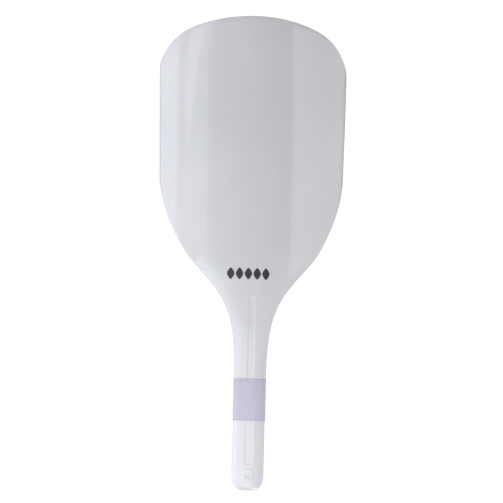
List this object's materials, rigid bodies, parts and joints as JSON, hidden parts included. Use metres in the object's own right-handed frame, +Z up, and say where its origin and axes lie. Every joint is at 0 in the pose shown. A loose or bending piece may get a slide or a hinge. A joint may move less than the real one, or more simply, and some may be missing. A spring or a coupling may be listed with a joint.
{
  "type": "hairspray face shield",
  "caption": "Hand-held face shield for hairspray: a thin translucent sheet bent across its width, narrowing to a handle with a pressed bead and a film band.",
  "frame": {"origin": "on the handle's front face, at the middle of the grip", "axes": "+Z up the handle towards the blade, -Y out of the convex front, +X to the right of someone looking at that front"},
  "size_m": [0.14, 0.0326, 0.34],
  "materials": {
    "milky_plastic": "milky, translucent, smooth gloss",
    "lilac_film": "thin translucent lilac film",
    "black_ink": "black printed ink"
  },
  "bodies": {
    "root": {"shield": "milky_plastic", "handle_band": "lilac_film", "printed_mark": "black_ink"}
  },
  "joints": []
}
